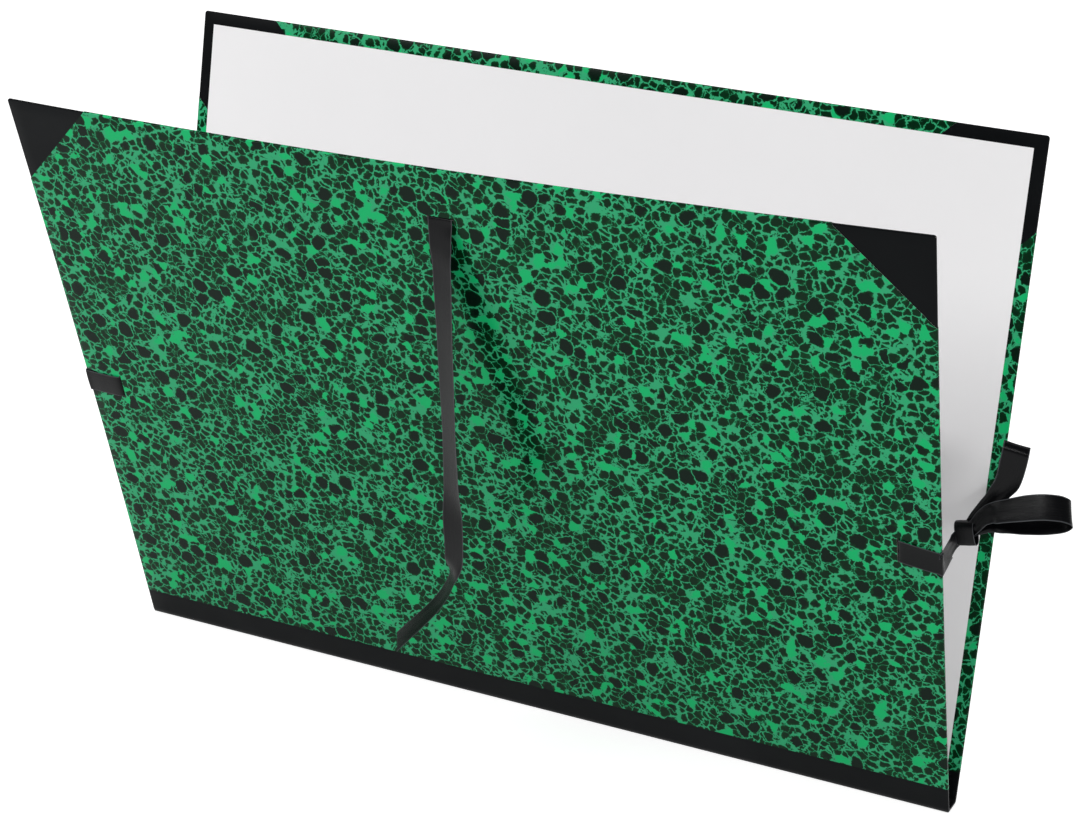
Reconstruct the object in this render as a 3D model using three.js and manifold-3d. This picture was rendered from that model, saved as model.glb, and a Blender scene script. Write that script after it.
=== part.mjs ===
import * as THREE from 'three';
import { mergeVertices } from 'three/addons/utils/BufferGeometryUtils.js';
import Module from 'manifold-3d';

const wasm = await Module();
wasm.setup();

// A drawing portfolio that stands open on its spine, in millimetres and degrees.
// X runs along the spine, Y from the front cover to the back cover, Z up.
// The origin is the middle of the spine's underside.

// Covers
const coverWidth = 720;
const coverHeight = 505;
const boardThickness = 1.6;
const sheetThickness = 0.25;
const glueGap = 0.25;
const frontLean = 12.9;
const backLean = 13.6;

// How far each cover has warped out of flat at its top edge, outwards from the portfolio
const frontBow = 9.5;
const frontTwist = 10.8;
const backBow = -3.8;
const backTwist = 2.8;

// Cloth spine, cloth corners and the papers' margins
const spineWidth = 17;
const spineStripHeight = 24;
const hingeStripHeight = 20;
const cornerLeg = 70;
const turnInDepth = 20;
const liningMargin = 10;
const liningFoot = 7;

// Ribbons and the slits that they are drawn through
const ribbonWidth = 19;
const ribbonThickness = 0.3;
const slitGap = 1.4;
const slitEndClearance = 1;
const tabLength = 30;
const sideSlitInset = 32;
const sideSlitHeight = 245;
const topSlitDrop = 40;
const ribbonLift = 0.35;
const edgeLift = 0.8;

const radians = THREE.MathUtils.degToRad;
const sheetLayer = glueGap + sheetThickness;
const halfCover = coverWidth / 2;
const outerFace = boardThickness / 2 + sheetLayer;
const innerFace = -boardThickness / 2 - sheetLayer;
const liningFace = innerFace - sheetLayer;

const covers = {
  front: { side: -1, lean: radians(frontLean), bow: frontBow, twist: frontTwist },
  back: { side: 1, lean: radians(backLean), bow: backBow, twist: backTwist },
};

// How far a cover bulges outwards at x along the spine and s up from its foot
function warp(cover, x, s) {
  const u = x / halfCover;
  const v = s / coverHeight;
  return v * v * (cover.bow * (1 - u * u) - cover.twist * u);
}

// A point of a cover: x along the spine, s up the cover from the board's foot, and w outwards
// from the middle of the board. The cloth under the foot lies flat on the ground.
function onCover(cover, x, s, w) {
  const footInset = outerFace - boardThickness / 2;
  const footRise = (footInset * (1 - Math.sin(cover.lean))) / Math.cos(cover.lean);
  const inward = outerFace - w - warp(cover, x, Math.max(s, 0));
  const up = s + footRise;
  const y = spineWidth / 2 + up * Math.sin(cover.lean) - inward * Math.cos(cover.lean);
  const z = up * Math.cos(cover.lean) + inward * Math.sin(cover.lean);
  return [x, cover.side * y, z];
}

const pieces = new THREE.Group();

const finishes = {
  marbledPaper: new THREE.MeshStandardMaterial({ color: 0x1d6b48, roughness: 0.3, metalness: 0 }),
  blackCloth: new THREE.MeshStandardMaterial({ color: 0x2a2c2e, roughness: 0.7, metalness: 0 }),
  greyBoard: new THREE.MeshStandardMaterial({ color: 0x8c8a85, roughness: 0.95, metalness: 0 }),
  liningPaper: new THREE.MeshStandardMaterial({ color: 0xe6e6ea, roughness: 0.85, metalness: 0 }),
  satinRibbon: new THREE.MeshStandardMaterial({ color: 0x141416, roughness: 0.35, metalness: 0 }),
};

function addPiece(name, geometry, finish) {
  const mesh = new THREE.Mesh(geometry, finishes[finish]);
  mesh.name = name;
  pieces.add(mesh);
}

// Closed solids from a grid of cells, each split into two triangular prisms, so that straight
// and 45 degree outlines follow the same curved cover. Every sheet shares the same grid lines.
function cellSolid({ columns, rows, layers, at, filled, rising = () => true }) {
  const index = new Map();
  const positions = [];
  const triangles = [];
  const vertex = (i, j, k) => {
    const key = `${i},${j},${k}`;
    if (!index.has(key)) {
      index.set(key, positions.length / 3);
      positions.push(...at(columns[i], rows[j], layers[k]));
    }
    return index.get(key);
  };
  const halfCorners = (i, j, half) => {
    const [a, b, c, d] = [[i, j], [i + 1, j], [i + 1, j + 1], [i, j + 1]];
    if (rising(i, j)) return half === 0 ? [a, b, c] : [a, c, d];
    return half === 0 ? [a, b, d] : [b, c, d];
  };
  const isFilled = (i, j, k, half) => {
    if (i < 0 || j < 0 || k < 0) return false;
    if (i >= columns.length - 1 || j >= rows.length - 1 || k >= layers.length - 1) return false;
    const corners = halfCorners(i, j, half);
    const x = corners.reduce((sum, corner) => sum + columns[corner[0]], 0) / 3;
    const s = corners.reduce((sum, corner) => sum + rows[corner[1]], 0) / 3;
    return filled(x, s, (layers[k] + layers[k + 1]) / 2);
  };
  const wall = (from, to, k) => {
    const low = [vertex(...from, k), vertex(...to, k)];
    const high = [vertex(...from, k + 1), vertex(...to, k + 1)];
    triangles.push(low[0], low[1], high[1], low[0], high[1], high[0]);
  };
  for (let i = 0; i < columns.length - 1; i += 1) {
    for (let j = 0; j < rows.length - 1; j += 1) {
      for (let k = 0; k < layers.length - 1; k += 1) {
        for (const half of [0, 1]) {
          if (!isFilled(i, j, k, half)) continue;
          const corners = halfCorners(i, j, half);
          if (!isFilled(i, j, k + 1, half)) {
            triangles.push(...corners.map((corner) => vertex(...corner, k + 1)));
          }
          if (!isFilled(i, j, k - 1, half)) {
            triangles.push(...corners.map((corner) => vertex(...corner, k)).reverse());
          }
          if (!isFilled(i, j, k, 1 - half)) {
            const diagonal = rising(i, j)
              ? [[i, j], [i + 1, j + 1]]
              : [[i + 1, j], [i, j + 1]];
            const ahead = rising(i, j) ? half === 1 : half === 0;
            wall(...(ahead ? diagonal : [...diagonal].reverse()), k);
          }
          const onLeft = rising(i, j) ? half === 1 : half === 0;
          if (half === 0 && !isFilled(i, j - 1, k, 1)) wall([i, j], [i + 1, j], k);
          if (half === 1 && !isFilled(i, j + 1, k, 0)) wall([i + 1, j + 1], [i, j + 1], k);
          if (onLeft && !isFilled(i - 1, j, k, rising(i - 1, j) ? 0 : 1)) {
            wall([i, j + 1], [i, j], k);
          }
          if (!onLeft && !isFilled(i + 1, j, k, rising(i + 1, j) ? 1 : 0)) {
            wall([i + 1, j], [i + 1, j + 1], k);
          }
        }
      }
    }
  }
  return closedGeometry(positions, triangles);
}

// A geometry whose faces point out of the solid
function closedGeometry(positions, triangles) {
  const corner = (n) => new THREE.Vector3().fromArray(positions, 3 * triangles[n]);
  let volume = 0;
  for (let n = 0; n < triangles.length; n += 3) {
    volume += corner(n).dot(corner(n + 1).cross(corner(n + 2)));
  }
  const ordered = volume > 0 ? triangles : [...triangles].reverse();
  const geometry = new THREE.BufferGeometry();
  geometry.setAttribute('position', new THREE.Float32BufferAttribute(positions, 3));
  geometry.setIndex(ordered);
  return geometry;
}

function toSolid(geometry) {
  const bare = geometry.clone();
  bare.deleteAttribute('normal');
  bare.deleteAttribute('uv');
  const merged = mergeVertices(bare, 1e-5);
  return new wasm.Manifold(new wasm.Mesh({
    numProp: 3,
    vertProperties: new Float32Array(merged.attributes.position.array),
    triVerts: new Uint32Array(merged.index.array),
  }));
}

function fromSolid(solid) {
  const { vertProperties, triVerts } = solid.getMesh();
  const geometry = new THREE.BufferGeometry();
  geometry.setAttribute('position', new THREE.BufferAttribute(vertProperties, 3));
  geometry.setIndex(new THREE.BufferAttribute(triVerts, 1));
  return geometry;
}

// Grid lines, as distances from a finished edge, that let the corners' 45 degree edges
// run from cell corner to cell corner
const half = cornerLeg / 2;
const edgeLines = [
  0, sheetThickness, liningMargin, turnInDepth, half,
  cornerLeg - turnInDepth, cornerLeg - liningMargin, cornerLeg, cornerLeg + liningMargin,
];
const innerColumn = halfCover - cornerLeg - liningMargin;
const middleColumns = [-2 / 3, -1 / 3, 0, 1 / 3, 2 / 3].map((share) => share * innerColumn);
const boardTop = coverHeight - sheetLayer;
const topRow = boardTop - sheetLayer - cornerLeg - liningMargin;
const middleRows = [0.25, 0.5, 0.75].map((share) => spineStripHeight + share * (topRow - spineStripHeight));

function mirroredColumns(distances) {
  const left = distances.map((distance) => distance - halfCover);
  const right = distances.map((distance) => halfCover - distance).reverse();
  return [...left, ...middleColumns, ...right];
}

const finishedTop = boardTop;
const fromTop = (distance) => finishedTop - distance;
const sideDistance = (x) => halfCover - Math.abs(x);
const topDistance = (s) => finishedTop - s;

// The corners' cloth is cut at 45 degrees outside. Where its margin is folded in, the cut
// edge is mirrored, so it runs away from the corner.
function inCorner(x, s, w) {
  const across = sideDistance(x);
  const down = topDistance(s);
  if (w > outerFace - sheetThickness) return across + down < cornerLeg;
  if (across < turnInDepth && down < turnInDepth) return true;
  return Math.abs(across - down) < cornerLeg && Math.max(across, down) < cornerLeg + liningMargin;
}

// A sheet drawn over a cover's outer face, round its edges and onto its inner face
function inWrap(x, s, w) {
  const edge = Math.min(sideDistance(x), topDistance(s));
  if (w > outerFace - sheetThickness) return true;
  if (w > innerFace + sheetThickness) return edge < sheetThickness;
  return edge < turnInDepth;
}

const wrapLayers = [innerFace, innerFace + sheetThickness, outerFace - sheetThickness, outerFace];
const cornerRows = edgeLines.map(fromTop).reverse();

// The cells that the mirrored cut edge crosses rise away from the corner on each side
function risingCell(columns, rows) {
  return (i, j) => {
    const x = (columns[i] + columns[i + 1]) / 2;
    const s = (rows[j] + rows[j + 1]) / 2;
    const past = Math.max(sideDistance(x), topDistance(s)) > cornerLeg;
    return (x < 0) !== past;
  };
}

function addCoverSheets(name, cover) {
  const at = (x, s, w) => onCover(cover, x, s, w);
  const columns = mirroredColumns(edgeLines);
  const paperRows = [spineStripHeight, ...middleRows, ...cornerRows];
  const paper = cellSolid({
    columns,
    rows: paperRows,
    layers: wrapLayers,
    at,
    filled: (x, s, w) => inWrap(x, s, w) && !inCorner(x, s, w),
    rising: risingCell(columns, paperRows),
  });
  addPiece(`${name}_cover_paper`, cutSlits(paper, cover), 'marbledPaper');

  for (const [place, direction] of [['left', -1], ['right', 1]]) {
    const corner = cellSolid({
      columns,
      rows: cornerRows,
      layers: wrapLayers,
      at,
      filled: (x, s, w) => x * direction > 0 && inWrap(x, s, w) && inCorner(x, s, w),
      rising: risingCell(columns, cornerRows),
    });
    addPiece(`${name}_${place}_corner`, corner, 'blackCloth');
  }

  const coarseLines = [half, cornerLeg + liningMargin];
  const coarseRows = [spineStripHeight, ...middleRows, ...coarseLines.map(fromTop).reverse()];
  const boardColumns = mirroredColumns([sheetLayer, ...coarseLines]);
  const boardRows = [0, ...coarseRows, fromTop(sheetLayer)];
  const board = cellSolid({
    columns: boardColumns,
    rows: boardRows,
    layers: [-boardThickness / 2, boardThickness / 2],
    at,
    filled: () => true,
    rising: risingCell(boardColumns, boardRows),
  });
  addPiece(`${name}_board`, cutSlits(board, cover), 'greyBoard');

  const liningColumns = mirroredColumns([liningMargin, ...coarseLines]);
  const liningRows = [liningFoot, ...coarseRows, fromTop(liningMargin)];
  const lining = cellSolid({
    columns: liningColumns,
    rows: liningRows,
    layers: [liningFace, liningFace + sheetThickness],
    at,
    filled: () => true,
    rising: risingCell(liningColumns, liningRows),
  });
  addPiece(`${name}_lining`, lining, 'liningPaper');
}

// Slits for the ribbons, cut through a cover's board and paper
const slitLength = ribbonWidth + 2 * slitEndClearance;
const topSlitHeight = coverHeight - topSlitDrop;
const slits = [
  { x: sideSlitInset - halfCover, s: sideSlitHeight, width: slitGap, height: slitLength },
  { x: halfCover - sideSlitInset, s: sideSlitHeight, width: slitGap, height: slitLength },
  { x: 0, s: topSlitHeight, width: slitLength, height: slitGap },
];

function cutSlits(geometry, cover) {
  let solid = toSolid(geometry);
  for (const slit of slits) {
    const cutter = cellSolid({
      columns: [slit.x - slit.width / 2, slit.x + slit.width / 2],
      rows: [slit.s - slit.height / 2, slit.s + slit.height / 2],
      layers: [innerFace - sheetThickness, outerFace + sheetThickness],
      at: (x, s, w) => onCover(cover, x, s, w),
      filled: () => true,
    });
    solid = solid.subtract(toSolid(cutter));
  }
  return fromSolid(solid);
}

// The spine's cloth runs from one cover's outer face under both boards to the other's,
// and its ends are turned in round the boards' side edges. A row is a place round the spine.
function spineRow(cover, s) {
  return { cover, s };
}

function clothRows(height) {
  return [
    spineRow(covers.front, height),
    spineRow(covers.front, height / 2),
    spineRow(covers.front, 0),
    spineRow(null, covers.front),
    spineRow(null, covers.back),
    spineRow(covers.back, 0),
    spineRow(covers.back, height / 2),
    spineRow(covers.back, height),
  ];
}

// Where a sheet at height z over the ground meets the layer w of a cover
function mitre(cover, x, w, z) {
  const foot = onCover(cover, x, 0, w);
  const s = (z - foot[2]) / Math.cos(cover.lean);
  return onCover(cover, x, s, w);
}

function onSpine(x, row, w, z) {
  if (row.cover) return onCover(row.cover, x, row.s, w);
  return mitre(row.s, x, w, z);
}

function addSpine() {
  const columns = mirroredColumns([0, sheetThickness, turnInDepth, cornerLeg + liningMargin]);
  const rows = clothRows(spineStripHeight);
  const cloth = cellSolid({
    columns,
    rows: rows.map((row, n) => n),
    layers: wrapLayers,
    at: (x, n, w) => onSpine(x, rows[n], w, outerFace - w),
    filled: (x, n, w) => {
      const underBoards = n > 2 && n < rows.length - 3;
      if (w > outerFace - sheetThickness) return true;
      if (underBoards) return false;
      return w > innerFace + sheetThickness
        ? sideDistance(x) < sheetThickness
        : sideDistance(x) < turnInDepth;
    },
  });
  addPiece('spine_cloth', cloth, 'blackCloth');

  const stripRows = clothRows(hingeStripHeight);
  const stripLayers = [innerFace, innerFace + sheetThickness];
  const strip = cellSolid({
    columns: mirroredColumns([turnInDepth + glueGap, cornerLeg + liningMargin]),
    rows: stripRows.map((row, n) => n),
    layers: stripLayers,
    at: (x, n, w) => onSpine(x, stripRows[n], w, sheetLayer + stripLayers[1] - w),
    filled: () => true,
  });
  addPiece('hinge_strip', strip, 'blackCloth');
}

// A ribbon: stations give its middle and the direction across it, and its width where it is
// gathered in a knot. Between them it follows a smooth curve, in the stations' step counts.
// Its two faces are split along the same diagonals, so that a twist leaves its thickness as it is.
function ribbonSolid(stations) {
  const middles = stations.map(({ at }) => new THREE.Vector3(...at));
  const curve = new THREE.CatmullRomCurve3(middles, false, 'centripetal');
  const spans = stations.length - 1;
  const widths = stations.map(({ width = ribbonWidth }) => width);
  const places = [];
  stations.forEach(({ steps = 1 }, n) => {
    if (n === spans) return;
    for (let step = 0; step < steps; step += 1) places.push(n + step / steps);
  });
  places.push(spans);
  const positions = [];
  const triangles = [];
  for (const place of places) {
    const n = Math.min(Math.floor(place), spans - 1);
    const middle = curve.getPoint(place / spans);
    const tangent = curve.getTangent(place / spans);
    const across = new THREE.Vector3(...stations[n].across)
      .lerp(new THREE.Vector3(...stations[n + 1].across), place - n);
    across.addScaledVector(tangent, -across.dot(tangent)).normalize();
    const normal = new THREE.Vector3().crossVectors(across, tangent);
    const width = THREE.MathUtils.lerp(widths[n], widths[n + 1], place - n);
    for (const [sideways, outwards] of [[-1, -1], [1, -1], [1, 1], [-1, 1]]) {
      const corner = middle.clone()
        .addScaledVector(across, (sideways * width) / 2)
        .addScaledVector(normal, (outwards * ribbonThickness) / 2);
      positions.push(corner.x, corner.y, corner.z);
    }
  }
  const last = 4 * (places.length - 1);
  for (let n = 0; n < last; n += 4) {
    for (let edge = 0; edge < 4; edge += 1) {
      const next = (edge + 1) % 4;
      const [near, far] = edge < 2 ? [edge, n + 4 + next] : [next, n + 4 + edge];
      triangles.push(n + edge, n + next, far, n + near, n + 4 + next, n + 4 + edge);
    }
  }
  triangles.push(2, 1, 0, 3, 2, 0, last, last + 1, last + 2, last, last + 2, last + 3);
  return closedGeometry(positions, triangles);
}

const outside = outerFace + ribbonLift + ribbonThickness / 2;
const inside = liningFace - ribbonLift - ribbonThickness / 2;
const underLining = -(boardThickness / 2 + innerFace * -1 + sheetThickness) / 2;

function directionOf(from, to) {
  return new THREE.Vector3(...to).sub(new THREE.Vector3(...from)).normalize().toArray();
}

// The glued tab under the lining and the way out through a side slit
function throughSideSlit(cover, direction) {
  const slitX = direction * (halfCover - sideSlitInset);
  const along = (x, w) => onCover(cover, x, sideSlitHeight, w);
  const across = directionOf(along(slitX, 0), onCover(cover, slitX, sideSlitHeight + 1, 0));
  const bend = slitGap / 4;
  return {
    across,
    stations: [
      { at: along(slitX - direction * tabLength, underLining), across, steps: 1 },
      { at: along(slitX - direction * bend, underLining), across, steps: 2 },
      { at: along(slitX, 0), across, steps: 2 },
      { at: along(slitX + direction * bend, outside), across, steps: 1 },
    ],
  };
}

// Round a cover's side edge, from its outer face to its inner face
function roundSideEdge(cover, direction) {
  const { across, stations } = throughSideSlit(cover, direction);
  const point = (inset, w) => onCover(cover, direction * (halfCover - inset), sideSlitHeight, w);
  return {
    across,
    stations: [
      ...stations,
      { at: point(2, outside), across, steps: 2 },
      { at: point(-edgeLift, outside), across, steps: 1 },
      { at: point(-edgeLift, inside), across, steps: 2 },
    ],
  };
}

function addHangingTopRibbon(name, cover, hang) {
  const point = (s, w) => onCover(cover, 0, s, w);
  const across = directionOf(onCover(cover, -1, topSlitHeight, 0), onCover(cover, 1, topSlitHeight, 0));
  const start = point(topSlitHeight - 4, outside + 1);
  const stations = [
    { at: point(topSlitHeight - tabLength, underLining), across, steps: 1 },
    { at: point(topSlitHeight - slitGap / 4, underLining), across, steps: 2 },
    { at: point(topSlitHeight, 0), across, steps: 2 },
    { at: point(topSlitHeight - slitGap / 4, outside), across, steps: 2 },
    { at: start, across, steps: 2 },
    ...hang.map(({ drop, shift = 0, out = 0, turn = 0 }) => ({
      at: [start[0] + shift, start[1] + cover.side * out, start[2] - drop],
      across: [Math.cos(radians(turn)), Math.sin(radians(turn)), 0],
      steps: 4,
    })),
  ];
  addPiece(name, ribbonSolid(stations), 'satinRibbon');
}

// The front's top ribbon hangs free, turns a little as it falls and curls at its end
const frontHang = [
  { drop: 40, turn: 0 },
  { drop: 100, turn: 40 },
  { drop: 180, turn: 45, shift: 2 },
  { drop: 245, turn: 70, shift: 4 },
  { drop: 280, turn: 60, shift: 2 },
  { drop: 310, turn: 30, shift: -14 },
  { drop: 345, turn: 20, shift: -40 },
];
const backHang = [
  { drop: 60, turn: 0 },
  { drop: 160, turn: 0 },
  { drop: 260, turn: 0 },
  { drop: 360, turn: 0 },
];

// The left ribbon of the front turns round the edge and lies down the inside of the cover
function addInnerLeftRibbon(name, cover) {
  const { across, stations } = roundSideEdge(cover, -1);
  const down = (x, s) => onCover(cover, x, s, inside);
  const turned = [1, 0, 0];
  const half45 = new THREE.Vector3(...across).add(new THREE.Vector3(1, 0, 0)).toArray();
  const left = -halfCover;
  stations.push(
    { at: down(left + 2, sideSlitHeight), across, steps: 2 },
    { at: down(left + 8, sideSlitHeight - 2), across, steps: 3 },
    { at: down(left + 26, sideSlitHeight - 24), across: half45, steps: 3 },
    { at: down(left + 33, sideSlitHeight - 60), across: turned, steps: 3 },
    { at: down(left + 34, 20), across: turned, steps: 1 },
  );
  addPiece(name, ribbonSolid(stations), 'satinRibbon');
}

// The left ribbon of the back leaves its slit and hangs down the outside
function addOuterLeftRibbon(name, cover) {
  const { across, stations } = throughSideSlit(cover, -1);
  const slitX = sideSlitInset - halfCover;
  const start = onCover(cover, slitX, sideSlitHeight, outside);
  const falling = (shift, out, drop) => [slitX - shift, start[1] + out, start[2] - drop];
  stations.push(
    { at: falling(6, 1, 0.5), across, steps: 3 },
    { at: falling(15, 4, 8), across: [-0.7, 0.1, 0.7], steps: 3 },
    { at: falling(19, 6, 26), across: [-1, 0.1, 0.2], steps: 3 },
    { at: falling(19, 6, 90), across: [-1, 0, 0], steps: 2 },
    { at: falling(18, 6, 225), across: [-1, 0, 0], steps: 1 },
  );
  addPiece(name, ribbonSolid(stations), 'satinRibbon');
}

// The right ribbons are tied in a bow in front of the gap. The front's ribbon makes the knot
// and the loop that stands out to the right.
const knotDepth = 7;
const knotMiddle = -40;
const gathered = 8;
const knotOutline = [[-5, 13], [8, 12], [14, 0], [1, -4]];

// A place in the bow: x from the covers' right edge, y from the middle of the gap and z from the
// height of the side slits
const inBow = (x, y, z) => [halfCover + x, y, sideSlitHeight + z];

function knotSolid() {
  const corners = knotOutline.map(([x, z]) => new THREE.Vector2(halfCover + x, sideSlitHeight + z));
  const shape = new THREE.Shape(corners);
  const knot = new THREE.ExtrudeGeometry(shape, { depth: knotDepth, bevelEnabled: false });
  knot.rotateX(Math.PI / 2);
  knot.translate(0, knotMiddle + knotDepth / 2, 0);
  return knot;
}

function addTiedFrontRibbon(name, cover) {
  const { stations, across } = roundSideEdge(cover, 1);
  const tilted = [-0.33, 0.67, 0.67];
  stations.push(
    { at: inBow(1, -54, -2), across, steps: 3 },
    { at: inBow(3.5, knotMiddle - 1, 5), across: [0, 0, 1], width: gathered, steps: 1 },
  );
  const loop = [
    { at: inBow(7, -41.5, 6), across: [0, 0.2, 1], width: gathered, steps: 2 },
    { at: inBow(18, -43.5, 12), across: [-0.1, 0.4, 0.9], steps: 3 },
    { at: inBow(34, -48, 29), across: tilted, steps: 3 },
    { at: inBow(58, -51, 42), across: tilted, steps: 3 },
    { at: inBow(76, -49, 44), across: tilted, steps: 3 },
    { at: inBow(83, -42, 39), across: tilted, steps: 3 },
    { at: inBow(76, -36, 31), across: tilted, steps: 3 },
    { at: inBow(54, -34, 22), across: tilted, steps: 3 },
    { at: inBow(32, -37, 13), across: tilted, steps: 3 },
    { at: inBow(18, -38.5, 7), across: [-0.1, 0.3, 0.9], steps: 2 },
    { at: inBow(8, -38.5, 4), across: [0, 0.1, 1], width: gathered, steps: 1 },
  ];
  const tied = toSolid(knotSolid())
    .add(toSolid(ribbonSolid(stations)))
    .add(toSolid(ribbonSolid(loop)));
  addPiece(name, fromSolid(tied), 'satinRibbon');
}

// The back's ribbon passes behind the knot and makes the loop that stands up
function addTiedBackRibbon(name, cover) {
  const { stations, across } = roundSideEdge(cover, 1);
  const upright = [-0.86, -0.29, 0.3];
  stations.push(
    { at: inBow(0, 40, -5), across, steps: 3 },
    { at: inBow(1, 0, -1), across: [0, 0.1, 1], steps: 3 },
    { at: inBow(2, -22, 3), across: [-0.3, 0.1, 1], steps: 4 },
    { at: inBow(6, -31, 13), across: [-0.7, -0.1, 0.6], steps: 3 },
    { at: inBow(14, -33, 31), across: upright, steps: 3 },
    { at: inBow(27, -34, 56), across: upright, steps: 3 },
    { at: inBow(36.5, -34, 73), across: upright, steps: 4 },
    { at: inBow(39, -29, 78.5), across: upright, steps: 4 },
    { at: inBow(36.5, -24, 73), across: upright, steps: 4 },
    { at: inBow(20, -24, 39), across: upright, steps: 1 },
  );
  addPiece(name, ribbonSolid(stations), 'satinRibbon');
}

addCoverSheets('front', covers.front);
addCoverSheets('back', covers.back);
addSpine();
addHangingTopRibbon('front_top_ribbon', covers.front, frontHang);
addHangingTopRibbon('back_top_ribbon', covers.back, backHang);
addInnerLeftRibbon('front_left_ribbon', covers.front);
addOuterLeftRibbon('back_left_ribbon', covers.back);
addTiedFrontRibbon('front_right_ribbon', covers.front);
addTiedBackRibbon('back_right_ribbon', covers.back);

export default pieces;
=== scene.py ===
import math

import bmesh
import bpy
from mathutils import Matrix, Vector


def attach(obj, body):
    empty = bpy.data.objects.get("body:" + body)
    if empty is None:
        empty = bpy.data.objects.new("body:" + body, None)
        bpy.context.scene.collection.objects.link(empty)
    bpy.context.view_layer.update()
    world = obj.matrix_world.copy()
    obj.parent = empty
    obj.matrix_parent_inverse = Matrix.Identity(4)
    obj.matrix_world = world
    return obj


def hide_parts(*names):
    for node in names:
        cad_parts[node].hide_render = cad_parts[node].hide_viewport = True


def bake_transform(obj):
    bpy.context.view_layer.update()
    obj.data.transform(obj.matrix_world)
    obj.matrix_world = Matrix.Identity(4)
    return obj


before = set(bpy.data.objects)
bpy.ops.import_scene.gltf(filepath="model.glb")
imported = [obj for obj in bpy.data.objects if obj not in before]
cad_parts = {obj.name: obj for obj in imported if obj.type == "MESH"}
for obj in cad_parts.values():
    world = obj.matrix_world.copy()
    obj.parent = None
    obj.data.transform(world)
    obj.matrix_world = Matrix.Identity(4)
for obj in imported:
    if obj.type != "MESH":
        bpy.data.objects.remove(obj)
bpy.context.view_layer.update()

# Sizes in millimetres
MM = 0.001
HALF_COVER = 360
COVER_HEIGHT = 505
BOARD_THICKNESS = 1.6
OUTER_FACE = 1.3
SPINE_WIDTH = 17
SPINE_STRIP_HEIGHT = 24
CORNER_LEG = 70
LINING_MARGIN = 10
TURNED_IN = 18
PAPER_THICKNESS = 0.15
CLOTH_THICKNESS = 0.2
SPINE_CLOTH_THICKNESS = 0.25
LINING_FOOT = 7
LINING_FACE = -1.75
LINING_THICKNESS = 0.25
HINGE_STRIP_HEIGHT = 20
HINGE_STRIP_FACE = -1.85
RIBBON_WIDTH = 19
GATHERED_WIDTH = 9
RIBBON_THICKNESS = 0.28
SLIT_GAP = 1.4
SIDE_SLIT_INSET = 32
SIDE_SLIT_HEIGHT = 245
TOP_SLIT_HEIGHT = 465

# Where a ribbon lies, in millimetres outwards from mid-board, and its room round a board's edge
OUTSIDE = 1.8
INSIDE = -2.3
UNDER_LINING = -1.05
EDGE_LIFT = 0.8

# Each cover's side of the gap, its lean, and how far its top edge bows and twists in millimetres
COVERS = {
    "front": {"side": -1, "lean": math.radians(12.9), "bow": 9.5, "twist": 10.8},
    "back": {"side": 1, "lean": math.radians(13.6), "bow": -3.8, "twist": 2.8},
}

# The camera that took the photograph: its place in metres, its angles in degrees and its lens
IMAGE_WIDTH = 1080
IMAGE_HEIGHT = 815
CAMERA_PLACE = (0.8896, -1.6451, 1.0989)
CAMERA_YAW = 25.92
CAMERA_PITCH = 26.28
CAMERA_ROLL = 0.16
FOCAL_PIXELS = 2680.1
CENTRE_PIXEL = (631.2, 504.9)
SENSOR_WIDTH = 36.0


def make_camera():
    data = bpy.data.cameras.new("camera")
    data.sensor_width = SENSOR_WIDTH
    data.lens = FOCAL_PIXELS / IMAGE_WIDTH * SENSOR_WIDTH
    data.shift_x = (IMAGE_WIDTH / 2 - CENTRE_PIXEL[0]) / IMAGE_WIDTH
    data.shift_y = (CENTRE_PIXEL[1] - IMAGE_HEIGHT / 2) / IMAGE_WIDTH
    data.clip_end = 50
    camera = bpy.data.objects.new("camera", data)
    bpy.context.scene.collection.objects.link(camera)
    turn = Matrix.Rotation(math.radians(CAMERA_YAW), 4, "Z")
    tilt = Matrix.Rotation(math.radians(90 - CAMERA_PITCH), 4, "X")
    roll = Matrix.Rotation(math.radians(CAMERA_ROLL), 4, "Z")
    camera.matrix_world = Matrix.Translation(CAMERA_PLACE) @ turn @ tilt @ roll
    bpy.context.scene.camera = camera


# Materials


def srgb(red, green, blue):
    """A colour given as on screen, from 0 to 255."""

    def linear(value):
        share = value / 255
        if share < 0.04045:
            return share / 12.92
        return ((share + 0.055) / 1.055) ** 2.4

    return (linear(red), linear(green), linear(blue), 1.0)


def feed_socket(tree, socket, value):
    """Link another node's output to a socket, or set the socket to a number or a colour."""
    if hasattr(value, "is_output"):
        tree.links.new(value, socket)
    else:
        socket.default_value = value


def add_math(tree, operation, *values):
    node = tree.nodes.new("ShaderNodeMath")
    node.operation = operation
    for socket, value in zip(node.inputs, values):
        feed_socket(tree, socket, value)
    return node.outputs[0]


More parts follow.
